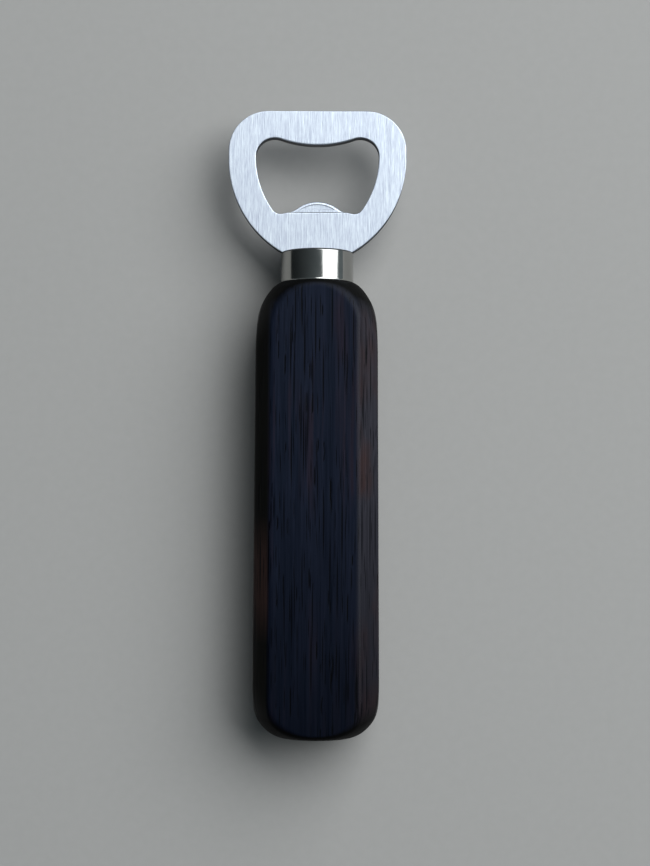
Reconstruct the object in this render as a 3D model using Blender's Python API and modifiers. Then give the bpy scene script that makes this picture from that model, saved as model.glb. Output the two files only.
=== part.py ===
"""Hand-held bottle opener: a stamped steel head, a collar and a wooden handle.

Lengths are in metres. +Y runs along the handle towards the head, +X lies across it and
+Z comes out of its front face. The opener rests on the flat back of the handle. The
origin is at the middle of its length and width, at the height of that back.
"""

import math

import bmesh
import bpy

MM = 0.001
GAP = 0.3 * MM  # clearance between pieces that touch

# Along the opener
HEAD_LENGTH = 32.15 * MM  # from the collar's face to the far edge of the plate
COLLAR_LENGTH = 6.8 * MM
HANDLE_LENGTH = 101.4 * MM  # without its spigot

# Head: a flat ring, symmetric about its length
HEAD_WIDTH = 40.0 * MM
SHEET_THICKNESS = 2.5 * MM
EDGE_BREAK = 0.15 * MM  # small chamfer that tumbling leaves on every stamped edge
TOP_CORNER_RADIUS = 9.0 * MM
OUTER_FLANK_RADIUS = 24.5 * MM
OUTER_FLANK_HEIGHT = 21.15 * MM  # of the flank arc's centre, above the collar's face

# Opening in the head: two lobes, the fulcrum bulge between them, and curved flanks
LOBE_OFFSET = 9.65 * MM
LOBE_HEIGHT = 21.8 * MM
LOBE_RADIUS = 4.2 * MM
BULGE_HEIGHT = 24.35 * MM  # of the bulge's lowest point
INNER_FLANK_RADIUS = 21.1 * MM
OPENING_FLOOR = 9.1 * MM
FLOOR_HALF_WIDTH = 6.6 * MM  # of its straight middle, which the lip takes up
FLOOR_CORNER_RADIUS = 2.2 * MM
FLOOR_CORNER_DIP = 0.3 * MM  # how far the corners sink below the straight middle
FLOOR_CORNER_RISE = 16  # degrees, where a corner turns back up to it

# Lip: a tongue half-sheared towards the back of the sheet
LIP_TIP = 11.8 * MM
LIP_TIP_RADIUS = 7.4 * MM
LIP_FILLET_RADIUS = 6.0 * MM  # where its sides run out along the opening's floor
LIP_ROOT = 8.0 * MM
LIP_DROP = 1.5 * MM

# Tang: the sheet's flat tail, notched so that the glue keys into it
TANG_LENGTH = 40.0 * MM
TANG_HALF_WIDTH = 3.75 * MM
TANG_END_CHAMFER = 1.2 * MM
TANG_UNDERCUT = 0.1 * MM  # relief beside the tang, so that the plate seats on the collar
NOTCH_RADIUS = 1.1 * MM
NOTCH_DEPTHS = (14.0 * MM, 23.0 * MM, 32.0 * MM)

# Collar
COLLAR_RADIUS = 8.15 * MM
COLLAR_WALL = 0.8 * MM
COLLAR_FACE = 1.0 * MM  # thickness of its closed end
COLLAR_RIM_RADIUS = 0.5 * MM

# Handle: a bar with chamfered long edges and turned ends
BUTT_WIDTH = 28.2 * MM
SHOULDER_WIDTH = 27.0 * MM
HANDLE_THICKNESS = 18.0 * MM
HANDLE_CHAMFER = 4.0 * MM
HANDLE_EDGE_RADIUS = 0.7 * MM
TURNED_RADIUS = 15.6 * MM  # just outside the bar's corners
SHOULDER_FLAT_RADIUS = 8.0 * MM
SHOULDER_ROUND_LENGTH = 16.0 * MM
SHOULDER_CURVE = (1.7, 1.4)  # exponents of its Lame curve, across and along the handle
BUTT_FLAT_RADIUS = 6.0 * MM
BUTT_ROUND_LENGTH = 12.7 * MM
BUTT_CURVE = (2.3, 1.7)
SPIGOT_CHAMFER = 0.5 * MM
SOCKET_RADIUS = 5.0 * MM
SOCKET_SPARE = 2.0 * MM  # depth left below the tang

AXIS_HEIGHT = HANDLE_THICKNESS / 2
BUTT_Y = -(HEAD_LENGTH + COLLAR_LENGTH + HANDLE_LENGTH) / 2
SHOULDER_Y = BUTT_Y + HANDLE_LENGTH
COLLAR_FACE_Y = SHOULDER_Y + COLLAR_LENGTH
COLLAR_BORE_RADIUS = COLLAR_RADIUS - COLLAR_WALL
SPIGOT_RADIUS = COLLAR_BORE_RADIUS - GAP
SPIGOT_TOP_Y = COLLAR_FACE_Y - COLLAR_FACE - 2 * GAP
SOCKET_FLOOR_Y = COLLAR_FACE_Y - TANG_LENGTH - SOCKET_SPARE

ROUND_STEPS = 72
ARC_STEPS = 12
ALONG_Y = (-math.pi / 2, 0, 0)  # turns an object's own +Z to the opener's +Y


# ---------------------------------------------------------------- outlines

def arc(centre, radius, start, end, steps=ARC_STEPS):
    """Points on an arc from one angle to another, in degrees."""
    angles = [math.radians(start + (end - start) * i / steps) for i in range(steps + 1)]
    return [(centre[0] + radius * math.cos(a), centre[1] + radius * math.sin(a)) for a in angles]


def both_sides(right_half):
    """A closed outline from its right half, which runs down from the centre line to it."""
    left_half = [(-x, y) for x, y in reversed(right_half) if x > 0]
    return right_half + left_half


def tang_side(widening):
    """The tang's right edge below the collar's face, with half-round notches."""
    half_width = TANG_HALF_WIDTH + widening
    radius = NOTCH_RADIUS - widening
    points = [(half_width, TANG_UNDERCUT)]
    for depth in NOTCH_DEPTHS:
        points += arc((half_width, -depth), radius, 90, 270, 8)
    end = -TANG_LENGTH - widening
    points += [(half_width, end + TANG_END_CHAMFER), (half_width - TANG_END_CHAMFER, end)]
    return points


def plate_outline():
    half_width = HEAD_WIDTH / 2
    corner = (half_width - TOP_CORNER_RADIUS, HEAD_LENGTH - TOP_CORNER_RADIUS)
    flank = (half_width - OUTER_FLANK_RADIUS, OUTER_FLANK_HEIGHT)
    foot = -math.degrees(math.asin(OUTER_FLANK_HEIGHT / OUTER_FLANK_RADIUS))
    right = [(0, HEAD_LENGTH)]
    right += arc(corner, TOP_CORNER_RADIUS, 90, 0)
    right += arc(flank, OUTER_FLANK_RADIUS, 0, foot)
    return both_sides(right + tang_side(0))


def opening_outline():
    rise = BULGE_HEIGHT - LOBE_HEIGHT
    bulge_radius = (LOBE_OFFSET**2 + rise**2 - LOBE_RADIUS**2) / (2 * (LOBE_RADIUS - rise))
    bulge = (0, BULGE_HEIGHT + bulge_radius)
    lobe = (LOBE_OFFSET, LOBE_HEIGHT)
    bulge_end = math.degrees(math.atan2(lobe[1] - bulge[1], lobe[0]))
    flank = (LOBE_OFFSET + LOBE_RADIUS - INNER_FLANK_RADIUS, LOBE_HEIGHT)
    corner_reach = INNER_FLANK_RADIUS - FLOOR_CORNER_RADIUS
    corner_y = OPENING_FLOOR - FLOOR_CORNER_DIP + FLOOR_CORNER_RADIUS
    corner_x = flank[0] + math.sqrt(corner_reach**2 - (corner_y - flank[1]) ** 2)
    flank_end = math.degrees(math.atan2(corner_y - flank[1], corner_x - flank[0]))
    right = arc(bulge, bulge_radius, -90, bulge_end)
    right += arc(lobe, LOBE_RADIUS, 180 + bulge_end, 0)
    right += arc(flank, INNER_FLANK_RADIUS, 0, flank_end)
    corner_end = -90 - FLOOR_CORNER_RISE
    right += arc((corner_x, corner_y), FLOOR_CORNER_RADIUS, flank_end, corner_end)
    return both_sides(right + [(FLOOR_HALF_WIDTH, OPENING_FLOOR)])


def lip_outline():
    tip_centre_y = LIP_TIP - LIP_TIP_RADIUS
    fillet_y = OPENING_FLOOR + LIP_FILLET_RADIUS
    rise = fillet_y - tip_centre_y
    fillet_x = math.sqrt((LIP_TIP_RADIUS + LIP_FILLET_RADIUS) ** 2 - rise**2)
    meet = math.degrees(math.atan2(rise, fillet_x))
    fillet_end = 180 + math.degrees(math.acos((fillet_x - FLOOR_HALF_WIDTH) / LIP_FILLET_RADIUS))
    right = arc((0, tip_centre_y), LIP_TIP_RADIUS, 90, meet)
    right += arc((fillet_x, fillet_y), LIP_FILLET_RADIUS, 180 + meet, fillet_end, 6)
    return both_sides(right + [(FLOOR_HALF_WIDTH, LIP_ROOT)])


# ---------------------------------------------------------------- making objects

def clear_scene():
    for obj in list(bpy.data.objects):
        bpy.data.objects.remove(obj)


def new_collection(name):
    collection = bpy.data.collections.new(name)
    bpy.context.scene.collection.children.link(collection)
    return collection


def new_material(name, colour, roughness, metallic):
    material = bpy.data.materials.new(name)
    material.use_nodes = True
    shader = material.node_tree.nodes["Principled BSDF"]
    shader.inputs["Base Color"].default_value = (*colour, 1)
    shader.inputs["Roughness"].default_value = roughness
    shader.inputs["Metallic"].default_value = metallic
    return material


def place(obj, collection, root, location=(0, 0, 0), rotation=(0, 0, 0)):
    collection.objects.link(obj)
    obj.parent = root
    obj.location = location
    obj.rotation_euler = rotation
    return obj


def flat_piece(name, outlines, thickness, collection, root, location, edge_break=0.0):
    """A mesh object of that thickness, from closed outlines: the first solid, the rest holes."""
    curve = bpy.data.curves.new(name, "CURVE")
    curve.dimensions = "2D"
    curve.fill_mode = "BOTH"
    curve.extrude = thickness / 2 - edge_break
    curve.bevel_depth = edge_break
    curve.bevel_resolution = 0
    curve.offset = -edge_break
    for outline in outlines:
        spline = curve.splines.new("POLY")
        spline.points.add(len(outline) - 1)
        spline.use_cyclic_u = True
        for point, (x, y) in zip(spline.points, outline):
            point.co = (x, y, 0, 1)
    drawn = place(bpy.data.objects.new(name + "_curve", curve), collection, root, location)
    bpy.context.view_layer.update()
    graph = bpy.context.evaluated_depsgraph_get()
    mesh = bpy.data.meshes.new_from_object(drawn.evaluated_get(graph))
    bpy.data.objects.remove(drawn)
    shape = bmesh.new()
    shape.from_mesh(mesh)
    bmesh.ops.remove_doubles(shape, verts=shape.verts, dist=0.001 * MM)
    bmesh.ops.recalc_face_normals(shape, faces=shape.faces)
    shape.to_mesh(mesh)
    shape.free()
    return place(bpy.data.objects.new(name, mesh), collection, root, location)


def turned_piece(name, profile, collection, root, y):
    """A turned object whose own axis lies along the handle. The profile holds (radius, height)."""
    mesh = bpy.data.meshes.new(name)
    edges = [(i, i + 1) for i in range(len(profile) - 1)]
    mesh.from_pydata([(r, 0, z) for r, z in profile], edges, [])
    obj = place(bpy.data.objects.new(name, mesh), collection, root, (0, y, 0), ALONG_Y)
    screw = obj.modifiers.new("turn", "SCREW")
    screw.steps = ROUND_STEPS
    screw.render_steps = ROUND_STEPS
    screw.use_merge_vertices = True
    screw.merge_threshold = 0.0001 * MM
    screw.use_smooth_shade = True
    return obj


def combine(obj, operation, other):
    boolean = obj.modifiers.new(operation.lower() + "_" + other.name, "BOOLEAN")
    boolean.operation = operation
    boolean.solver = "EXACT"
    boolean.object = other
    other.hide_render = True
    other.display_type = "WIRE"


def shade_round(obj):
    obj.data.shade_smooth()
    obj.data.set_sharp_from_angle(angle=math.radians(30))


# ---------------------------------------------------------------- the pieces

def make_head(parts, cutters, root, material):
    """The stamping: plate and tang in one outline, with the lip joined to it."""
    at_face = (0, COLLAR_FACE_Y, 0)
    outlines = [plate_outline(), opening_outline()]
    head = flat_piece("opener_head", outlines, SHEET_THICKNESS, parts, root, at_face, EDGE_BREAK)
    below = (0, COLLAR_FACE_Y, -LIP_DROP)
    lip = flat_piece("lip_blank", [lip_outline()], SHEET_THICKNESS, cutters, root, below, EDGE_BREAK)
    combine(head, "UNION", lip)
    head.data.materials.append(material)


def make_collar(parts, cutters, root, material):
    """A drawn cup over the handle's spigot, its closed end slotted for the tang."""
    length = COLLAR_LENGTH - 2 * GAP
    rim = (COLLAR_RADIUS - COLLAR_RIM_RADIUS, length - COLLAR_RIM_RADIUS)
    profile = [(0, length)]
    profile += arc(rim, COLLAR_RIM_RADIUS, 90, 0, 4)
    profile += [(COLLAR_RADIUS, 0), (COLLAR_BORE_RADIUS, 0)]
    profile += [(COLLAR_BORE_RADIUS, length - COLLAR_FACE), (0, length - COLLAR_FACE)]
    collar = turned_piece("ferrule", profile, parts, root, SHOULDER_Y + GAP)
    half_width = TANG_HALF_WIDTH + GAP
    slot_half = [(0, COLLAR_LENGTH), (half_width, COLLAR_LENGTH), (half_width, -COLLAR_FACE)]
    slot_height = SHEET_THICKNESS + 2 * GAP
    slot = flat_piece(
        "collar_slot", [both_sides(slot_half)], slot_height, cutters, root, (0, SHOULDER_Y, 0)
    )
    combine(collar, "DIFFERENCE", slot)
    collar.data.materials.append(material)


def handle_bar(parts, root):
    """The wooden bar before turning: a box with chamfered, slightly softened long edges."""
    length = HANDLE_LENGTH + 2 * COLLAR_LENGTH
    slope = (SHOULDER_WIDTH - BUTT_WIDTH) / HANDLE_LENGTH
    end_width = {-1: BUTT_WIDTH - slope * COLLAR_LENGTH, 1: SHOULDER_WIDTH + slope * COLLAR_LENGTH}
    shape = bmesh.new()
    bmesh.ops.create_cube(shape, size=2)
    for vertex in shape.verts:
        x, y, z = vertex.co
        vertex.co = (x * end_width[round(y)] / 2, y * length / 2, z * HANDLE_THICKNESS / 2)
    long_edges = [e for e in shape.edges if abs(e.verts[0].co.y - e.verts[1].co.y) > length / 2]
    bmesh.ops.bevel(
        shape, geom=long_edges, offset=HANDLE_CHAMFER, offset_type="OFFSET", segments=1,
        affect="EDGES",
    )
    mesh = bpy.data.meshes.new("wooden_handle")
    shape.to_mesh(mesh)
    shape.free()
    middle = BUTT_Y - COLLAR_LENGTH + length / 2
    bar = place(bpy.data.objects.new("wooden_handle", mesh), parts, root, (0, middle, 0))
    soften = bar.modifiers.new("soften", "BEVEL")
    soften.width = HANDLE_EDGE_RADIUS
    soften.segments = 2
    soften.limit_method = "ANGLE"
    soften.angle_limit = math.radians(30)
    return bar


def rounded_end(end_y, flat_radius, length, curve):
    """Quarter of a Lame curve, from the end's flat out to the turned radius. The length is
    negative for the end at -Y."""
    reach = TURNED_RADIUS - flat_radius
    across, along = curve
    points = []
    for i in range(ARC_STEPS + 1):
        angle = math.pi / 2 * (1 - i / ARC_STEPS)
        radius = flat_radius + reach * math.cos(angle) ** (2 / across)
        points.append((radius, end_y - length * (1 - math.sin(angle) ** (2 / along))))
    return points


def turned_profile():
    """The turned blank: spigot, shoulder, full radius and butt, from the top down."""
    shoulder = rounded_end(
        SHOULDER_Y, SHOULDER_FLAT_RADIUS, SHOULDER_ROUND_LENGTH, SHOULDER_CURVE
    )
    butt = rounded_end(BUTT_Y, BUTT_FLAT_RADIUS, -BUTT_ROUND_LENGTH, BUTT_CURVE)
    profile = [
        (0, SPIGOT_TOP_Y),
        (SPIGOT_RADIUS - SPIGOT_CHAMFER, SPIGOT_TOP_Y),
        (SPIGOT_RADIUS, SPIGOT_TOP_Y - SPIGOT_CHAMFER),
        (SPIGOT_RADIUS, SHOULDER_Y),
    ]
    return profile + shoulder + butt[::-1] + [(0, BUTT_Y)]


def make_handle(parts, cutters, root, material):
    """The bar turned to round ends and a spigot, then bored for the tang."""
    handle = handle_bar(parts, root)
    combine(handle, "INTERSECT", turned_piece("turned_blank", turned_profile(), cutters, root, 0))
    depth = SPIGOT_TOP_Y - SOCKET_FLOOR_Y
    bore = [(0, depth + GAP), (SOCKET_RADIUS, depth + GAP), (SOCKET_RADIUS, 0), (0, 0)]
    combine(handle, "DIFFERENCE", turned_piece("socket_bore", bore, cutters, root, SOCKET_FLOOR_Y))
    handle.data.materials.append(material)


def make_adhesive(parts, cutters, root, material):
    """The glue that fills the socket round the tang."""
    depth = SPIGOT_TOP_Y - SOCKET_FLOOR_Y - GAP
    radius = SOCKET_RADIUS - GAP
    plug_profile = [(0, depth), (radius, depth), (radius, 0), (0, 0)]
    plug = turned_piece("tang_adhesive", plug_profile, parts, root, SOCKET_FLOOR_Y + GAP)
    mould_height = SHEET_THICKNESS + 2 * GAP
    mould_outline = both_sides([(0, 0)] + tang_side(GAP))
    at_face = (0, COLLAR_FACE_Y, 0)
    mould = flat_piece("tang_mould", [mould_outline], mould_height, cutters, root, at_face)
    combine(plug, "DIFFERENCE", mould)
    plug.data.materials.append(material)


def build():
    clear_scene()
    parts = new_collection("bottle_opener")
    cutters = new_collection("cutters")
    root = bpy.data.objects.new("bottle_opener_axis", None)
    parts.objects.link(root)
    root.location = (0, 0, AXIS_HEIGHT)
    make_head(parts, cutters, root, new_material("brushed_steel", (0.68, 0.72, 0.76), 0.32, 1))
    make_collar(parts, cutters, root, new_material("nickel_plate", (0.62, 0.61, 0.58), 0.12, 1))
    make_handle(parts, cutters, root, new_material("dark_wood", (0.012, 0.010, 0.011), 0.45, 0))
    make_adhesive(parts, cutters, root, new_material("epoxy", (0.62, 0.52, 0.32), 0.35, 0))
    for obj in parts.objects:
        if obj.type == "MESH":
            shade_round(obj)


build()
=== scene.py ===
"""Looks for the bottle opener: the finished meshes, materials, light and camera.

Lengths are in metres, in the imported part's frame: +Y runs along the handle towards the
steel head, +X lies across it, and +Z comes out of its front face. The opener lies on z = 0.
"""

import math

import bmesh
import bpy
import numpy as np
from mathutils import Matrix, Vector


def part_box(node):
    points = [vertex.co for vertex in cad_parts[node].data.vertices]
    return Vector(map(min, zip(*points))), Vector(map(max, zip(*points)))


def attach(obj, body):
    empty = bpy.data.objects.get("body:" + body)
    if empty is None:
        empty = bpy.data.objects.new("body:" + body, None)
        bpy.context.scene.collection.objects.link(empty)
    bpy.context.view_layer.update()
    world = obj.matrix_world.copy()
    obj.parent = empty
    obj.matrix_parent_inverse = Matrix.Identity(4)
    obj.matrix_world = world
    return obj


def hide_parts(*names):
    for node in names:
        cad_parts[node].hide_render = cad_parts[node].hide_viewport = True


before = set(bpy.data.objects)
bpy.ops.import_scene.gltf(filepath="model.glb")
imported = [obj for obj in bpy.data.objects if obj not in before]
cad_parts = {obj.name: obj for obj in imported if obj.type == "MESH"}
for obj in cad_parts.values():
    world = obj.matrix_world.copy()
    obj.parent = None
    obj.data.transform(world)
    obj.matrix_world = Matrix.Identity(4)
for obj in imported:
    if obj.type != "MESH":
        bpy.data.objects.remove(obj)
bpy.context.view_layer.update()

MM = 0.001
GAP = 0.3 * MM  # clearance that the CAD keeps between pieces that touch

# Places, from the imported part
HEAD_LOW, HEAD_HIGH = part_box("opener_head")
FERRULE_LOW, FERRULE_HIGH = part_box("ferrule")
HANDLE_LOW, HANDLE_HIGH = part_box("wooden_handle")
GLUE_LOW, GLUE_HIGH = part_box("tang_adhesive")
AXIS_HEIGHT = (HANDLE_LOW.z + HANDLE_HIGH.z) / 2
COLLAR_FACE_Y = FERRULE_HIGH.y + GAP
SHOULDER_Y = FERRULE_LOW.y - GAP
BUTT_Y = HANDLE_LOW.y
SPIGOT_TOP_Y = HANDLE_HIGH.y
SOCKET_FLOOR_Y = GLUE_LOW.y - GAP

# Stamped head. Heights in its outlines are above the collar's face.
HEAD_LENGTH = HEAD_HIGH.y - COLLAR_FACE_Y
HEAD_HALF_WIDTH = HEAD_HIGH.x
SHEET_TOP = HEAD_HIGH.z
SHEET_THICKNESS = 2.5 * MM
SHEET_BOTTOM = SHEET_TOP - SHEET_THICKNESS
TOP_CORNER_RADIUS = 9.0 * MM
OUTER_FLANK_RADIUS = 24.5 * MM
OUTER_FLANK_HEIGHT = 21.15 * MM
LOBE_OFFSET = 9.65 * MM
LOBE_HEIGHT = 21.8 * MM
LOBE_RADIUS = 4.2 * MM
BULGE_HEIGHT = 24.35 * MM
INNER_FLANK_RADIUS = 21.1 * MM
OPENING_FLOOR = 9.1 * MM
FLOOR_HALF_WIDTH = 6.6 * MM
FLOOR_CORNER_RADIUS = 2.2 * MM
FLOOR_CORNER_DIP = 0.3 * MM
FLOOR_CORNER_RISE = 16  # degrees
EDGE_ROLL = (0.28 * MM, 0.16 * MM)  # how wide and deep the die rolls the front edge
BULGE_ROLL = 0.2 * MM  # extra width of that roll on the bulge
BURR_ROLL = (0.12 * MM, 0.12 * MM)  # the back edge
LIP_TIP = 11.8 * MM
LIP_TIP_RADIUS = 7.4 * MM
LIP_FILLET_RADIUS = 6.0 * MM
LIP_ROOT = 8.0 * MM
LIP_DROP = 1.5 * MM
LIP_COINED_EDGE = (0.5 * MM, 0.28 * MM)
CREASE_WIDTH = 0.3 * MM  # groove that the shearing leaves along the lip's root
CREASE_DEPTH = 0.45 * MM
IMPRINT_MARGIN = 0.6 * MM  # from the lip's tip to the punch's flat imprint
IMPRINT_START = 0.85 * MM  # from the crease to that imprint
IMPRINT_DEPTH = 0.1 * MM
IMPRINT_ROLL = 0.16 * MM
SHEARED_AND_SHADED_STEEPNESS = 0.6  # a face is a sheared edge where its normal's z is below this, and is painted dark: partly the fracture's dull finish, partly painted shade
TANG_HALF_WIDTH = 3.75 * MM
TANG_END_CHAMFER = 1.2 * MM
TANG_UNDERCUT = 0.1 * MM
TANG_LENGTH = COLLAR_FACE_Y - HEAD_LOW.y
NOTCH_RADIUS = 1.1 * MM
NOTCH_DEPTHS = (14.0 * MM, 23.0 * MM, 32.0 * MM)

# Collar
COLLAR_RADIUS = FERRULE_HIGH.x
COLLAR_WALL = 0.8 * MM
COLLAR_FACE = 1.0 * MM
COLLAR_RIM_RADIUS = 0.45 * MM
RIM_SHADE_FACING = 0.15  # a rim face is painted dark, a painted shade line along the plate's foot, where its normal's y is above this
COLLAR_SEAT = 0.15 * MM  # how far the plate's foot sinks into the collar
COLLAR_FLARE = (0.15 * MM, 0.4 * MM)  # how far its edge at the wood turns out, and its length

# Handle
BUTT_WIDTH = 28.2 * MM
SHOULDER_WIDTH = 27.0 * MM
HANDLE_THICKNESS = HANDLE_HIGH.z - HANDLE_LOW.z
LEFT_CHAMFER = 3.7 * MM
RIGHT_CHAMFER = 4.2 * MM
BAR_EDGE_SOFTNESS = 0.7 * MM  # where a chamfer meets the front or the back
SIDE_EDGE_SOFTNESS = 0.25 * MM  # where it meets a side
TURNED_EDGE_SOFTNESS = 1.5 * MM  # where a turned end meets the bar
TURNED_RADIUS = 15.6 * MM
SHOULDER_FLAT_RADIUS = 8.0 * MM
SHOULDER_ROUND_LENGTH = 16.0 * MM
SHOULDER_CURVE = (1.7, 1.4)  # exponents of its Lame curve, across and along the handle
BUTT_FLAT_RADIUS = 6.0 * MM
BUTT_ROUND_LENGTH = 12.7 * MM
BUTT_CURVE = (2.3, 1.7)
SPIGOT_RADIUS = COLLAR_RADIUS - COLLAR_WALL - GAP
SPIGOT_CHAMFER = 0.5 * MM
SOCKET_RADIUS = GLUE_HIGH.x + GAP
SURFACE_WAVE = 0.035 * MM  # what hand sanding leaves
SMOOTH_CORE = 2 * MM  # waves and pores fade out within this radius
PORE_COUNT = 330
PORE_SEED = 5
PORE_DEPTH = 0.06 * MM
PORE_SHALLOWEST = 0.35  # as a share of that depth
PORE_HALF_LENGTHS = (1.0, 4.2)  # in millimetres
PORE_HALF_WIDTHS = (0.12, 0.2)
PORE_SLANT = 0.008
PORE_BEND = 0.12 * MM

# Fineness of the meshes
COLUMN_STEP = 0.21 * MM  # round the handle
ROW_STEP = 0.5 * MM  # along it
END_STEP = 0.36 * MM  # and over its turned ends
ARC_STEPS = 32
LATHE_STEPS = 256
SHARP_ANGLE = 35  # degrees
HANDLE_SHARP_ANGLE = 50

# Places on the wood where its colour changes, and where the painted light on its right side and the
# painted shade on its left side start
RIGHT_PAINTED_LIGHT_STARTS = (9.3 * MM, 10.6 * MM)
LEFT_PAINTED_SHADE_STARTS = (-9.6 * MM, -10.3 * MM)
DARKER_BUTT = (-54 * MM, 4 * MM)
RUST_PATCH_Y = -35 * MM  # on the left side
RUST_PATCH_REACH = (5 * MM, 14 * MM)

# Floor, light and camera
FLOOR_SIZE = 4.0
PANEL_DISTANCE = 1.6
KEY_PANEL = {
    "tilt": 45, "turn": 42, "width": 1.9, "height": 1.5, "radiance": 3.9,
    "colour": (0.95, 0.98, 1.0),
}
WORLD_BRIGHT_SIDE = (0.8, 0.6, 0.0)
WORLD_SPREAD = 0.75  # how far off that side's middle the strength still changes
WORLD_RANGE = (0.02, 0.25)  # strength away from that side and towards it
WORLD_COLOUR = (0.78, 0.93, 1.0, 1)
CAMERA_PLACE = (3.2 * MM, -24.2 * MM, 427.5 * MM)  # from the middle of the opener's footprint
CAMERA_TURN = (0.052, 0.003, 0.003)
LENS = 77.8
SENSOR = 36.0


# ---------------------------------------------------------------- outlines

def arc(centre, radius, start, end, steps=ARC_STEPS):
    """Points on an arc from one angle to another, in degrees."""
    angles = [math.radians(start + (end - start) * i / steps) for i in range(steps + 1)]
    return [(centre[0] + radius * math.cos(a), centre[1] + radius * math.sin(a)) for a in angles]


def both_sides(right_half):
    """A closed outline from its right half, which starts and ends on the centre line."""
    left_half = [(-x, y) for x, y in reversed(right_half) if x > 1e-9]
    return without_repeats(right_half + left_half)


def without_repeats(points):
    """The points without any that lies on the one before it."""
    kept = []
    for point in points:
        if not kept or math.dist(point, kept[-1]) > 0.01 * MM:
            kept.append(point)
    return kept


def tang_side():
    """The tang's right edge, from the plate's foot to its end, with its notches."""
    points = [(TANG_HALF_WIDTH, TANG_UNDERCUT)]
    for depth in NOTCH_DEPTHS:
        points += arc((TANG_HALF_WIDTH, -depth), NOTCH_RADIUS, 90, 270, 12)
    end = -TANG_LENGTH
    points += [
        (TANG_HALF_WIDTH, end + TANG_END_CHAMFER),
        (TANG_HALF_WIDTH - TANG_END_CHAMFER, end),
    ]
    return points


def plate_outline():
    """The head's outside, with the tang."""
    corner = (HEAD_HALF_WIDTH - TOP_CORNER_RADIUS, HEAD_LENGTH - TOP_CORNER_RADIUS)
    flank = (HEAD_HALF_WIDTH - OUTER_FLANK_RADIUS, OUTER_FLANK_HEIGHT)
    foot = -math.degrees(math.asin(OUTER_FLANK_HEIGHT / OUTER_FLANK_RADIUS))
    right = [(0, HEAD_LENGTH)]
    right += arc(corner, TOP_CORNER_RADIUS, 90, 0)
    right += arc(flank, OUTER_FLANK_RADIUS, 0, foot)
    return both_sides(right + tang_side())


def opening_outline():
    """The hole in the head: bulge, lobes, flanks, dipped corners and floor."""
    rise = BULGE_HEIGHT - LOBE_HEIGHT
    bulge_radius = (LOBE_OFFSET**2 + rise**2 - LOBE_RADIUS**2) / (2 * (LOBE_RADIUS - rise))
    bulge = (0, BULGE_HEIGHT + bulge_radius)
    lobe = (LOBE_OFFSET, LOBE_HEIGHT)
    bulge_end = math.degrees(math.atan2(lobe[1] - bulge[1], lobe[0]))
    flank = (LOBE_OFFSET + LOBE_RADIUS - INNER_FLANK_RADIUS, LOBE_HEIGHT)
    corner_reach = INNER_FLANK_RADIUS - FLOOR_CORNER_RADIUS
    corner_y = OPENING_FLOOR - FLOOR_CORNER_DIP + FLOOR_CORNER_RADIUS
    corner_x = flank[0] + math.sqrt(corner_reach**2 - (corner_y - flank[1]) ** 2)
    flank_end = math.degrees(math.atan2(corner_y - flank[1], corner_x - flank[0]))
    right = arc(bulge, bulge_radius, -90, bulge_end)
    right += arc(lobe, LOBE_RADIUS, 180 + bulge_end, 0)
    right += arc(flank, INNER_FLANK_RADIUS, 0, flank_end)
    corner_end = -90 - FLOOR_CORNER_RISE
    right += arc((corner_x, corner_y), FLOOR_CORNER_RADIUS, flank_end, corner_end)
    return both_sides(right + [(FLOOR_HALF_WIDTH, OPENING_FLOOR)])


def lip_outline():
    """The lip's round tip, its fillets, and a root that runs under the plate."""
    tip_centre_y = LIP_TIP - LIP_TIP_RADIUS
    fillet_y = OPENING_FLOOR + LIP_FILLET_RADIUS
    rise = fillet_y - tip_centre_y
    fillet_x = math.sqrt((LIP_TIP_RADIUS + LIP_FILLET_RADIUS) ** 2 - rise**2)
    meet = math.degrees(math.atan2(rise, fillet_x))
    fillet_end = 180 + math.degrees(math.acos((fillet_x - FLOOR_HALF_WIDTH) / LIP_FILLET_RADIUS))
    right = arc((0, tip_centre_y), LIP_TIP_RADIUS, 90, meet)
    right += arc((fillet_x, fillet_y), LIP_FILLET_RADIUS, 180 + meet, fillet_end, 12)
    return both_sides(right + [(FLOOR_HALF_WIDTH, LIP_ROOT)])


def imprint_outline():
    """The punch's mark on the lip: a segment inside the tip's arc."""
    radius = LIP_TIP_RADIUS - IMPRINT_MARGIN
    centre_y = LIP_TIP - LIP_TIP_RADIUS
    end = math.degrees(math.asin((OPENING_FLOOR + IMPRINT_START - centre_y) / radius))
    return both_sides(arc((0, centre_y), radius, 90, end))


# ---------------------------------------------------------------- meshes

def new_object(name, mesh):
    obj = bpy.data.objects.new(name, mesh)
    bpy.context.scene.collection.objects.link(obj)
    return obj


def object_from(name, shape):
    """An object from a bmesh, with its faces turned outwards."""
    bmesh.ops.recalc_face_normals(shape, faces=shape.faces)
    mesh = bpy.data.meshes.new(name)
    shape.to_mesh(mesh)
    shape.free()
    return new_object(name, mesh)


def inward_normals(points):
    """For a closed outline that runs clockwise, the inward direction at each point, long
    enough to keep an inset of 1 from both edges that meet there."""
    edges = np.roll(points, -1, axis=0) - points
    edges /= np.linalg.norm(edges, axis=1)[:, None]
    normals = np.stack([edges[:, 1], -edges[:, 0]], axis=1)
    before = np.roll(normals, 1, axis=0)
    mean = normals + before
    mean /= np.linalg.norm(mean, axis=1)[:, None]
    return mean / np.maximum((mean * normals).sum(1), 0.5)[:, None]


def roll_steps(roll, steps=6):
    """(inset, drop) pairs of a quarter ellipse, from the wall to the flat."""
    width, depth = roll
    angles = [math.pi / 2 * i / steps for i in range(steps + 1)]
    return [(width * (1 - math.cos(a)), depth * (1 - math.sin(a))) for a in angles]


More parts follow.
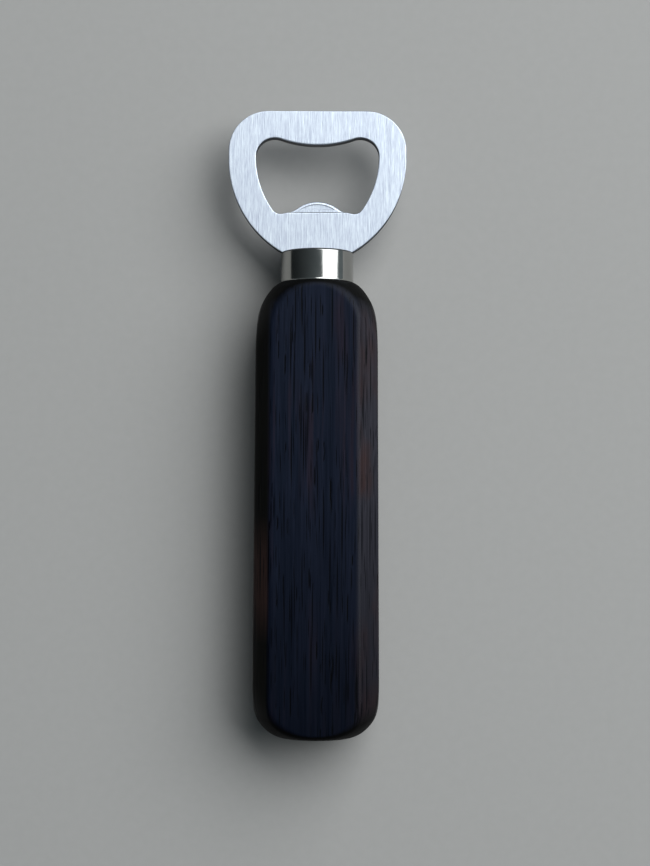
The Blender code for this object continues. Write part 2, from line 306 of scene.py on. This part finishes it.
def sheet_solid(name, outlines, bottom, top, front_roll, back_roll, extra=None):
    """A flat stamping with rolled edges: the first outline is its outside, the rest holes.
    extra(points) gives more width for the front roll, point by point."""
    shape = bmesh.new()
    front_edges = []
    back_edges = []
    for number, outline in enumerate(outlines):
        points = np.array(outline)
        doubled_area = (
            points[:, 0] * np.roll(points[:, 1], -1) - points[:, 1] * np.roll(points[:, 0], -1)
        ).sum()
        if (doubled_area > 0) != (number > 0):
            points = points[::-1]
        inward = inward_normals(points)
        widen = np.ones(len(points)) if extra is None else 1 + extra(points) / front_roll[0]
        levels = [(bottom + drop, inset, False) for inset, drop in roll_steps(back_roll)[::-1]]
        levels += [(top - drop, inset, True) for inset, drop in roll_steps(front_roll)]
        rings = []
        for height, inset, front in levels:
            reach = inset * (widen if front else 1.0)
            moved = points + inward * np.broadcast_to(reach, len(points))[:, None]
            rings.append([shape.verts.new((x, y, height)) for x, y in moved])
        count = len(points)
        for lower, upper in zip(rings, rings[1:]):
            for i in range(count):
                j = (i + 1) % count
                shape.faces.new((lower[i], lower[j], upper[j], upper[i]))
        back_edges += [shape.edges.get((rings[0][i], rings[0][i - 1])) for i in range(count)]
        front_edges += [shape.edges.get((rings[-1][i], rings[-1][i - 1])) for i in range(count)]
    bmesh.ops.triangle_fill(shape, use_beauty=True, edges=front_edges, normal=(0, 0, 1))
    bmesh.ops.triangle_fill(shape, use_beauty=True, edges=back_edges, normal=(0, 0, -1))
    bmesh.ops.translate(shape, verts=shape.verts, vec=(0, COLLAR_FACE_Y, 0))
    return object_from(name, shape)


def lathe(name, profile):
    """A closed turned solid about the opener's own axis, from (radius, y) points."""
    shape = bmesh.new()
    angles = [2 * math.pi * i / LATHE_STEPS for i in range(LATHE_STEPS)]
    rings = []
    for radius, y in profile:
        if radius < 1e-9:
            rings.append([shape.verts.new((0, y, AXIS_HEIGHT))])
            continue
        rings.append([
            shape.verts.new((radius * math.sin(a), y, AXIS_HEIGHT + radius * math.cos(a)))
            for a in angles
        ])
    join_rings(shape, rings)
    return object_from(name, shape)


def join_rings(shape, rings):
    """Faces between each ring and the next, closing on single points."""
    for first, second in zip(rings, rings[1:]):
        count = max(len(first), len(second))
        for i in range(count):
            j = (i + 1) % count
            corners = [first[i % len(first)], first[j % len(first)]]
            corners += [second[j % len(second)], second[i % len(second)]]
            shape.faces.new(list(dict.fromkeys(corners)))


def combine(obj, operation, other):
    """Applies a Boolean with another object, and removes that object."""
    modifier = obj.modifiers.new(operation, "BOOLEAN")
    modifier.operation = operation
    modifier.solver = "EXACT"
    modifier.object = other
    bpy.context.view_layer.update()
    graph = bpy.context.evaluated_depsgraph_get()
    mesh = bpy.data.meshes.new_from_object(obj.evaluated_get(graph))
    obj.modifiers.clear()
    obj.data = mesh
    bpy.data.objects.remove(other)


def shade(obj):
    """Smooth shading that leaves flats flat and keeps real corners."""
    obj.data.shade_smooth()
    obj.data.set_sharp_from_angle(angle=math.radians(SHARP_ANGLE))
    weighted = obj.modifiers.new("keep_flats", "WEIGHTED_NORMAL")
    weighted.keep_sharp = True
    weighted.weight = 100


def block(name, low, high):
    """A box between two corners."""
    shape = bmesh.new()
    bmesh.ops.create_cube(shape, size=1)
    for vertex in shape.verts:
        vertex.co = [(a + b) / 2 + c * (b - a) for a, b, c in zip(low, high, vertex.co)]
    return object_from(name, shape)


# ---------------------------------------------------------------- the head

def on_bulge(points):
    """Extra roll width on the opening's bulge, fading out into the lobes."""
    near = np.clip(1 - np.abs(points[:, 0]) / LOBE_OFFSET, 0, 1)
    above = (points[:, 1] > LOBE_HEIGHT) & (points[:, 1] < HEAD_LENGTH - LOBE_RADIUS)
    return BULGE_ROLL * near**0.5 * above


def make_head():
    outlines = [plate_outline(), opening_outline()]
    head = sheet_solid(
        "steel_head", outlines, SHEET_BOTTOM, SHEET_TOP, EDGE_ROLL, BURR_ROLL, on_bulge
    )
    lip = sheet_solid(
        "lip", [lip_outline()], SHEET_BOTTOM - LIP_DROP, SHEET_TOP - LIP_DROP,
        LIP_COINED_EDGE, BURR_ROLL,
    )
    lip_top = SHEET_TOP - LIP_DROP
    combine(lip, "DIFFERENCE", sheet_solid(
        "imprint", [imprint_outline()], lip_top - IMPRINT_DEPTH, lip_top + IMPRINT_DEPTH,
        (0.02 * MM, 0.02 * MM), (IMPRINT_ROLL, IMPRINT_DEPTH * 0.9),
    ))
    combine(head, "UNION", lip)
    combine(head, "DIFFERENCE", crease_cutter(lip_top))
    # Steep faces, the sheared edges and the crease's walls, are marked to be painted dark: partly
    # the fracture's dull finish, partly painted shade.
    mark(head, "sheared_and_shaded", lambda face: abs(face.normal.z) < SHEARED_AND_SHADED_STEEPNESS)
    shade(head)
    return head


def crease_cutter(lip_top):
    """A three-sided bar whose lower edge cuts the crease, flush with the opening's floor."""
    floor_y = COLLAR_FACE_Y + OPENING_FLOOR
    section = [
        (floor_y, lip_top - CREASE_DEPTH),
        (floor_y + 2 * CREASE_WIDTH, lip_top + CREASE_DEPTH),
        (floor_y, lip_top + CREASE_DEPTH),
    ]
    reach = FLOOR_HALF_WIDTH - 0.1 * MM
    shape = bmesh.new()
    ends = [[shape.verts.new((x, y, z)) for y, z in section] for x in (-reach, reach)]
    join_rings(shape, ends)
    shape.faces.new(ends[0])
    shape.faces.new(ends[1])
    return object_from("crease", shape)


def mark(piece, name, chosen):
    """An attribute that is 1 on the faces that chosen(face) picks, and 0 on the others."""
    attribute = piece.data.attributes.new(name, "FLOAT", "FACE")
    attribute.data.foreach_set("value", [float(chosen(face)) for face in piece.data.polygons])


# ---------------------------------------------------------------- the collar

def make_collar():
    low = SHOULDER_Y
    high = COLLAR_FACE_Y + COLLAR_SEAT
    bore = COLLAR_RADIUS - COLLAR_WALL
    rim = (COLLAR_RADIUS - COLLAR_RIM_RADIUS, high - COLLAR_RIM_RADIUS)
    flare, flare_length = COLLAR_FLARE
    profile = [(0, high)]
    profile += arc(rim, COLLAR_RIM_RADIUS, 90, 0, 8)
    profile += [
        (COLLAR_RADIUS + flare * (1 - math.cos(a)), low + flare_length * (1 - math.sin(a)))
        for a in (math.pi / 2 * i / 6 for i in range(7))
    ]
    profile += [(bore, low), (bore, high - COLLAR_FACE), (0, high - COLLAR_FACE)]
    collar = lathe("polished_collar", profile)
    half_width = TANG_HALF_WIDTH + GAP
    combine(collar, "DIFFERENCE", block(
        "tang_slot",
        (-half_width, low + COLLAR_WALL, SHEET_BOTTOM - GAP),
        (half_width, high + COLLAR_WALL, SHEET_TOP + GAP),
    ))
    combine(collar, "DIFFERENCE", block(
        "plate_seat",
        (-COLLAR_RADIUS, COLLAR_FACE_Y - 0.02 * MM, SHEET_BOTTOM - 0.02 * MM),
        (COLLAR_RADIUS, high + COLLAR_WALL, SHEET_TOP + 0.02 * MM),
    ))
    shade(collar)
    rim_radius, rim_y = rim
    # Rim faces that turn towards the head are marked for a painted shade line along the plate's
    # foot.
    mark(collar, "rim", lambda face: (
        face.normal.y > RIM_SHADE_FACING and face.center.y > rim_y
        and math.hypot(face.center.x, face.center.z - AXIS_HEIGHT) > rim_radius
    ))
    return collar


# ---------------------------------------------------------------- the handle

def rounded_end(end_y, flat_radius, length, curve, steps=400):
    """Quarter of a Lame curve, from the end's flat out to the turned radius."""
    reach = TURNED_RADIUS - flat_radius
    across, along = curve
    points = []
    for i in range(steps + 1):
        angle = math.pi / 2 * (1 - i / steps)
        radius = flat_radius + reach * math.cos(angle) ** (2 / across)
        points.append((radius, end_y - length * (1 - math.sin(angle) ** (2 / along))))
    return points


def evenly(points, step):
    """The same path with points a step apart."""
    path = np.array(points)
    lengths = np.concatenate([[0], np.cumsum(np.linalg.norm(np.diff(path, axis=0), axis=1))])
    count = max(2, math.ceil(lengths[-1] / step) + 1)
    wanted = np.linspace(0, lengths[-1], count)
    return list(zip(*(np.interp(wanted, lengths, path[:, axis]) for axis in (0, 1))))


def handle_profile():
    """(radius, y) from the middle of the butt, over the outside, to the socket's floor."""
    butt = rounded_end(BUTT_Y, BUTT_FLAT_RADIUS, -BUTT_ROUND_LENGTH, BUTT_CURVE)
    shoulder = rounded_end(
        SHOULDER_Y, SHOULDER_FLAT_RADIUS, SHOULDER_ROUND_LENGTH, SHOULDER_CURVE
    )[::-1]
    profile = evenly([(0, BUTT_Y), (BUTT_FLAT_RADIUS, BUTT_Y)], 3 * END_STEP)
    profile += evenly(butt, END_STEP)[1:]
    profile += evenly([butt[-1], shoulder[0]], ROW_STEP)[1:]
    profile += evenly(shoulder, END_STEP)[1:]
    profile += [
        (SPIGOT_RADIUS, SHOULDER_Y),
        (SPIGOT_RADIUS, SPIGOT_TOP_Y - SPIGOT_CHAMFER),
        (SPIGOT_RADIUS - SPIGOT_CHAMFER, SPIGOT_TOP_Y),
        (SOCKET_RADIUS, SPIGOT_TOP_Y),
        (SOCKET_RADIUS, SOCKET_FLOOR_Y),
        (0, SOCKET_FLOOR_Y),
    ]
    return np.array(profile)


def soft_min(first, second, softness):
    """The smaller of the two, rounded off where they differ by less than the softness."""
    blend = np.clip(softness - np.abs(first - second), 0, None) / softness
    return np.minimum(first, second) - blend**2 * softness / 4


def bar_radius(across, up, y):
    """Distance from the axis to the chamfered bar along directions (across, up), at y."""
    share = (y - BUTT_Y) / (SHOULDER_Y - BUTT_Y)
    half_width = (BUTT_WIDTH + (SHOULDER_WIDTH - BUTT_WIDTH) * share) / 2
    half_thickness = HANDLE_THICKNESS / 2
    chamfer = np.where(across > 0, RIGHT_CHAMFER, LEFT_CHAMFER)
    side = half_width / np.maximum(np.abs(across), 1e-6)
    face = half_thickness / np.maximum(np.abs(up), 1e-6)
    slope = (half_width + half_thickness - chamfer) / (np.abs(across) + np.abs(up))
    softness = np.where(side < face, SIDE_EDGE_SOFTNESS, BAR_EDGE_SOFTNESS)
    return soft_min(np.minimum(side, face), slope, softness)


def column_angles():
    """Directions round the axis that space the columns evenly along the bar's outline."""
    fine = np.linspace(0, 2 * math.pi, 7201)
    radius = bar_radius(np.sin(fine), np.cos(fine), (BUTT_Y + SHOULDER_Y) / 2)
    x = radius * np.sin(fine)
    z = radius * np.cos(fine)
    lengths = np.concatenate([[0], np.cumsum(np.hypot(np.diff(x), np.diff(z)))])
    count = round(lengths[-1] / COLUMN_STEP)
    return np.interp(np.arange(count) / count * lengths[-1], lengths, fine), lengths[-1]


def make_handle():
    """The bar as rings of points round its axis, from the butt to the socket's floor."""
    profile = handle_profile()
    angles, outline_length = column_angles()
    across = np.sin(angles)[None, :]
    up = np.cos(angles)[None, :]
    turned = profile[:, :1]
    y = profile[:, 1:]
    bar = bar_radius(across, up, y)
    radius = soft_min(np.broadcast_to(turned, bar.shape), bar, TURNED_EDGE_SOFTNESS)

    along = np.arange(len(angles)) / len(angles) * outline_length
    outside = (turned > SPIGOT_RADIUS) | (y < SOCKET_FLOOR_Y)
    depth = pore_depths(along, y[:, 0], outline_length) * outside
    waves = sanding_waves(along, y, outline_length) * outside
    fade = np.clip(turned / SMOOTH_CORE, 0, 1)
    radius = radius - depth * fade - waves * fade

    shape = bmesh.new()
    rings = []
    pore_shares = []
    for row, (row_radius, row_y) in enumerate(profile):
        if row_radius < 1e-9:
            rings.append([shape.verts.new((0, row_y, AXIS_HEIGHT))])
            pore_shares.append([0.0])
            continue
        rings.append([
            shape.verts.new((r * s, row_y, AXIS_HEIGHT + r * c))
            for r, s, c in zip(radius[row], across[0], up[0])
        ])
        pore_shares.append(depth[row] / PORE_DEPTH)
    join_rings(shape, rings)
    handle = object_from("wooden_bar", shape)
    attribute = handle.data.attributes.new("pore", "FLOAT", "POINT")
    shares = np.clip(np.concatenate(pore_shares), 0, 1)
    attribute.data.foreach_set("value", shares.astype(np.float32))
    handle.data.shade_smooth()
    handle.data.set_sharp_from_angle(angle=math.radians(HANDLE_SHARP_ANGLE))
    return handle


def pore_depths(along, y, outline_length):
    """Depth of the wood's open pores: long narrow grooves that follow the grain."""
    rng = np.random.default_rng(PORE_SEED)
    depth = np.zeros((len(y), len(along)))
    span = SHOULDER_Y - BUTT_Y
    for _ in range(PORE_COUNT):
        middle = rng.uniform(0, outline_length)
        centre = BUTT_Y + span * rng.uniform(0, 1)
        half_length = MM * rng.uniform(*PORE_HALF_LENGTHS)
        half_width = MM * rng.uniform(*PORE_HALF_WIDTHS)
        deepest = PORE_DEPTH * rng.uniform(PORE_SHALLOWEST, 1.0)
        slant = rng.normal(0, PORE_SLANT)
        bend = rng.normal(0, PORE_BEND)
        rows = np.nonzero(np.abs(y - centre) < half_length)[0]
        if not len(rows):
            continue
        t = (y[rows] - centre) / half_length
        line = middle + slant * (y[rows] - centre) + bend * t**2
        aside = (along[None, :] - line[:, None] + outline_length / 2) % outline_length
        aside = np.abs(aside - outline_length / 2)
        groove = deepest * np.clip(1 - aside / half_width, 0, 1) * (1 - t[:, None] ** 4)
        depth[rows] = np.maximum(depth[rows], groove)
    return depth


def sanding_waves(along, y, outline_length):
    """Very slight hollows and swells of a hand-sanded bar, from 0 up to SURFACE_WAVE."""
    turn = 2 * math.pi * along[None, :] / outline_length
    waves = np.sin(3 * turn + 90 * y + 1.0) * np.sin(140 * y + 0.4)
    waves = waves + 0.6 * np.sin(5 * turn - 210 * y + 2.2)
    return SURFACE_WAVE * (1 + waves / 1.6) / 2


# ---------------------------------------------------------------- materials

class Nodes:
    """Short ways to add and link the nodes of one material."""

    def __init__(self, name):
        self.material = bpy.data.materials.new(name)
        self.material.use_nodes = True
        self.tree = self.material.node_tree
        self.shader = self.tree.nodes["Principled BSDF"]
        self.coordinates = self.add("ShaderNodeTexCoord").outputs["Object"]

    def add(self, kind, inputs=None, **settings):
        node = self.tree.nodes.new(kind)
        for key, value in settings.items():
            setattr(node, key, value)
        for key, value in (inputs or {}).items():
            self.put(node.inputs[key], value)
        return node

    def put(self, socket, value):
        """Links an output to the socket, or sets its value."""
        if isinstance(value, bpy.types.NodeSocket):
            self.tree.links.new(value, socket)
        else:
            socket.default_value = value

    def set(self, **values):
        """Values or links for the shader, with underscores for spaces."""
        for key, value in values.items():
            self.put(self.shader.inputs[key.replace("_", " ")], value)

    def mapped(self, scale, offset=(0, 0, 0)):
        """The material's coordinates with a scale per axis, per metre."""
        node = self.add(
            "ShaderNodeMapping", {"Vector": self.coordinates, "Scale": scale, "Location": offset}
        )
        return node.outputs[0]

    def noise(self, scale, detail=3.0, roughness=0.5, offset=(0, 0, 0), output="Fac"):
        vector = self.mapped(scale, offset)
        texture = self.add(
            "ShaderNodeTexNoise",
            {"Vector": vector, "Scale": 1.0, "Detail": detail, "Roughness": roughness},
        )
        return texture.outputs[output]

    def attribute(self, name):
        return self.add("ShaderNodeAttribute", attribute_name=name).outputs["Fac"]

    def sway(self, scale, amount):
        """Bends the coordinates gently, so that grain doesn't run dead straight."""
        bend = self.noise(scale, detail=2, output="Color")
        node = self.add("ShaderNodeVectorMath", operation="MULTIPLY_ADD")
        self.put(node.inputs[0], bend)
        self.put(node.inputs[1], (amount, 0, amount))
        self.put(node.inputs[2], self.coordinates)
        self.coordinates = node.outputs[0]

    def across_and_along(self):
        """The coordinates' x and y."""
        node = self.add("ShaderNodeSeparateXYZ", {"Vector": self.coordinates})
        return node.outputs[0], node.outputs[1]

    def end_facing(self):
        """How far the surface faces along the object's length: 0 on its sides, 1 on its ends."""
        facing = self.add("ShaderNodeTexCoord").outputs["Normal"]
        node = self.add("ShaderNodeSeparateXYZ", {"Vector": facing})
        return self.math("ABSOLUTE", node.outputs[1])

    def pores(self, scale, reach):
        """1 inside long thin cells, and 0 outside them."""
        cells = self.add(
            "ShaderNodeTexVoronoi", {"Vector": self.mapped(scale), "Scale": 1.0}, feature="F1"
        )
        return self.remap(cells.outputs["Distance"], reach, reach * 0.55)

    def remap(self, value, low, high, to_low=0.0, to_high=1.0):
        node = self.add(
            "ShaderNodeMapRange",
            {
                "Value": value, "From Min": low, "From Max": high,
                "To Min": to_low, "To Max": to_high,
            },
        )
        return node.outputs["Result"]

    def mix(self, factor, first, second):
        """The first colour where the factor is 0, and the second where it is 1."""
        node = self.add("ShaderNodeMix", data_type="RGBA")
        self.put(node.inputs[0], factor)
        self.put(node.inputs[6], (*first, 1) if isinstance(first, tuple) else first)
        self.put(node.inputs[7], (*second, 1) if isinstance(second, tuple) else second)
        return node.outputs[2]

    def math(self, operation, first, second=0.0):
        node = self.add("ShaderNodeMath", operation=operation)
        self.put(node.inputs[0], first)
        self.put(node.inputs[1], second)
        return node.outputs[0]

    def blend(self, first, second, share):
        """A weighted mean of two values, with this share of the second."""
        part = self.math("MULTIPLY", first, 1 - share)
        return self.math("ADD", part, self.math("MULTIPLY", second, share))

    def bump(self, height, strength, distance, normal=None):
        node = self.add(
            "ShaderNodeBump", {"Height": height, "Strength": strength, "Distance": distance}
        )
        if normal is not None:
            self.put(node.inputs["Normal"], normal)
        return node.outputs["Normal"]


def brushed_steel():
    m = Nodes("brushed_steel_finish")
    fine = m.noise((9500, 330, 9500), detail=3, roughness=0.7)
    broad = m.noise((3200, 90, 3200), detail=3, roughness=0.6, offset=(3.1, 0.7, 1.9))
    strokes = m.blend(fine, broad, 0.25)
    # The steel's colour is tinted blue, a painted reflection of the sky, over the brushing's real
    # streaks.
    bright = m.mix(m.remap(strokes, 0.33, 0.67), (0.42, 0.46, 0.58), (0.87, 0.94, 1.0))
    m.set(
        # Steep faces get a near-black colour: partly the sheared edges' dull finish, partly painted
        # shade on the walls and in the crease.
        Base_Color=m.mix(m.attribute("sheared_and_shaded"), bright, (0.10, 0.10, 0.11)),
        Metallic=1.0,
        Roughness=m.remap(strokes, 0.35, 0.65, 0.54, 0.42),
        Anisotropic=0.8,
        Tangent=m.add("ShaderNodeTangent", direction_type="RADIAL", axis="Y").outputs[0],
        Normal=m.bump(fine, 0.25, 0.02 * MM, m.bump(broad, 0.2, 0.05 * MM)),
    )
    return m.material


def nickel():
    m = Nodes("polished_nickel_finish")
    turning = m.noise((250, 9000, 250), detail=3, roughness=0.6)
    smears = m.noise((260, 220, 260), detail=4, roughness=0.6, offset=(0.3, 2.0, 1.0))
    bright = m.mix(smears, (0.35, 0.35, 0.335), (0.45, 0.45, 0.43))
    # rim marks the faces that get a painted shade line between the plate and the collar: near
    # black, not metallic.
    rim = m.attribute("rim")
    polish = m.remap(smears, 0.3, 0.7, 0.09, 0.17)
    m.set(
        Base_Color=m.mix(rim, bright, (0.010, 0.011, 0.012)),
        Metallic=m.math("SUBTRACT", 1.0, rim),
        Roughness=m.math("MAXIMUM", polish, m.math("MULTIPLY", rim, 0.7)),
        Normal=m.bump(turning, 0.06, 0.01 * MM),
    )
    return m.material


def dark_wood():
    m = Nodes("dark_wood_finish")
    m.sway((24, 10, 24), 1.3 * MM)
    fibres = m.noise((2400, 45, 2400), detail=5, roughness=0.7)
    bands = m.noise((420, 11, 420), detail=4, roughness=0.6, offset=(4, 1, 2))
    patches = m.noise((95, 42, 95), detail=3, roughness=0.5, offset=(1.5, 0.3, 0.8))
    across, along = m.across_and_along()
    tone = m.remap(m.blend(fibres, bands, 0.4), 0.36, 0.64)

    # Black with a painted bluish sheen of the overhead light, and plum streaks
    black_and_sheen = m.mix(tone, (0.0035, 0.0062, 0.0135), (0.0125, 0.0170, 0.0340))
    plum = m.mix(tone, (0.0090, 0.0070, 0.0110), (0.0230, 0.0160, 0.0260))
    streaks = m.math("MULTIPLY", m.remap(bands, 0.48, 0.62), m.remap(patches, 0.42, 0.60, 0.0, 0.7))
    wood = m.mix(streaks, black_and_sheen, plum)

    # The right side is paler, a painted highlight of the light from the right, with the wood's own
    # rust-red patches
    painted_lit_side = m.mix(tone, (0.0175, 0.0170, 0.0225), (0.0390, 0.0370, 0.0465))
    rust = m.mix(tone, (0.0200, 0.0100, 0.0090), (0.0520, 0.0270, 0.0240))
    right = m.mix(m.remap(patches, 0.46, 0.60, 0.0, 0.8), painted_lit_side, rust)
    wood = m.mix(m.remap(across, *RIGHT_PAINTED_LIGHT_STARTS, 0.0, 0.9), wood, right)

    # Both darken unevenly towards the butt
    uneven = m.math("ADD", along, m.math("MULTIPLY", patches, 30 * MM))
    darker = m.mix(0.75, wood, (0.0006, 0.0014, 0.0048))
    wood = m.mix(m.remap(uneven, *DARKER_BUTT), darker, wood)

    # The left side is painted nearly black, a painted shade, but for one rust patch of the wood's
    # own colour
    from_patch = m.math("ABSOLUTE", m.math("SUBTRACT", along, RUST_PATCH_Y))
    left_shade_and_rust = m.mix(m.remap(from_patch, *RUST_PATCH_REACH), rust, (0.0018, 0.0020, 0.0016))
    wood = m.mix(m.remap(across, *LEFT_PAINTED_SHADE_STARTS), wood, left_shade_and_rust)

    # Fine pores, the grooves of the mesh, and end grain, all darker: the wood's own dark pores and
    # end grain, with painted shade in the grooves and on the ends
    pores = m.math("MAXIMUM", m.pores((1300, 32, 1300), 0.30), m.pores((2000, 85, 2000), 0.26))
    # The pores' dark colour is partly their own and partly painted shade in their depth.
    wood = m.mix(m.math("MULTIPLY", pores, 0.9), wood, (0.0006, 0.0010, 0.0026))
    # The mesh's pore grooves get painted shade.
    groove = m.remap(m.attribute("pore"), 0.05, 0.5)
    wood = m.mix(groove, wood, (0.0006, 0.0009, 0.0020))
    # Faces that turn along the bar, its ends, are painted near black: partly the end grain's own
    # darkness, partly painted shade on the rounded ends.
    end_grain_and_shade = m.remap(m.end_facing(), 0.06, 0.45)
    wood = m.mix(end_grain_and_shade, wood, (0.0003, 0.0003, 0.0004))
    satin = m.remap(tone, 0.0, 1.0, 0.30, 0.38)
    m.set(
        Base_Color=wood,
        Roughness=m.math("ADD", satin, m.math("MULTIPLY", end_grain_and_shade, 0.3)),
        Specular_IOR_Level=0.09,
        Normal=m.bump(m.math("SUBTRACT", fibres, pores), 0.2, 0.04 * MM),
    )
    return m.material


def epoxy():
    m = Nodes("epoxy_finish")
    cloud = m.noise((400, 400, 400), detail=3)
    m.set(
        Base_Color=m.mix(cloud, (0.52, 0.42, 0.22), (0.66, 0.56, 0.35)),
        Roughness=m.remap(cloud, 0.3, 0.7, 0.25, 0.4),
        Normal=m.bump(cloud, 0.2, 0.1 * MM),
    )
    return m.material


def plain_floor():
    m = Nodes("pale_floor")
    grain = m.noise((500, 500, 500), detail=3)
    m.set(
        Base_Color=m.mix(grain, (0.43, 0.42, 0.405), (0.46, 0.45, 0.435)),
        Roughness=0.85,
        Specular_IOR_Level=0.2,
    )
    return m.material


# ---------------------------------------------------------------- floor, light and camera

def make_floor():
    shape = bmesh.new()
    bmesh.ops.create_grid(shape, x_segments=1, y_segments=1, size=FLOOR_SIZE / 2)
    floor = object_from("floor", shape)
    floor.data.materials.append(plain_floor())


def make_panel(name, tilt, turn, width, height, radiance, colour):
    """A soft panel that faces the opener. tilt is its angle from the vertical, and turn its
    bearing from +X towards +Y."""
    light = bpy.data.lights.new(name, "AREA")
    light.shape = "RECTANGLE"
    light.size = width
    light.size_y = height
    light.energy = radiance * math.pi * width * height
    light.color = colour
    panel = new_object(name, light)
    tilt = math.radians(tilt)
    turn = math.radians(turn)
    towards = Vector(
        (math.sin(tilt) * math.cos(turn), math.sin(tilt) * math.sin(turn), math.cos(tilt))
    )
    panel.location = towards * PANEL_DISTANCE
    panel.rotation_euler = towards.to_track_quat("Z", "Y").to_euler()


def make_world():
    """A dim surround that is brighter towards one side."""
    world = bpy.data.worlds.new("studio")
    bpy.context.scene.world = world
    world.use_nodes = True
    nodes = world.node_tree.nodes
    links = world.node_tree.links
    direction = nodes.new("ShaderNodeTexCoord")
    along = nodes.new("ShaderNodeVectorMath")
    along.operation = "DOT_PRODUCT"
    along.inputs[1].default_value = WORLD_BRIGHT_SIDE
    links.new(direction.outputs["Generated"], along.inputs[0])
    strength = nodes.new("ShaderNodeMapRange")
    strength.inputs["From Min"].default_value = -WORLD_SPREAD
    strength.inputs["From Max"].default_value = WORLD_SPREAD
    strength.inputs["To Min"].default_value, strength.inputs["To Max"].default_value = WORLD_RANGE
    links.new(along.outputs["Value"], strength.inputs["Value"])
    background = nodes["Background"]
    background.inputs["Color"].default_value = WORLD_COLOUR
    links.new(strength.outputs["Result"], background.inputs["Strength"])


def make_camera():
    data = bpy.data.cameras.new("camera")
    data.lens = LENS
    data.sensor_width = SENSOR
    data.clip_start = 0.01
    camera = new_object("camera", data)
    camera.location = CAMERA_PLACE
    camera.rotation_euler = CAMERA_TURN
    bpy.context.scene.camera = camera


def finish_piece(piece, node, material):
    """Gives the piece its finish, and lets it stand for the CAD's node."""
    piece.data.materials.clear()
    piece.data.materials.append(material)
    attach(piece, "root")
    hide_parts(node)


finish_piece(make_head(), "opener_head", brushed_steel())
finish_piece(make_collar(), "ferrule", nickel())
finish_piece(make_handle(), "wooden_handle", dark_wood())
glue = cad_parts["tang_adhesive"]
glue.data.materials.clear()
glue.data.materials.append(epoxy())
make_floor()
make_world()
make_panel("key_panel", **KEY_PANEL)
make_camera()
bpy.context.scene.view_settings.view_transform = "Standard"
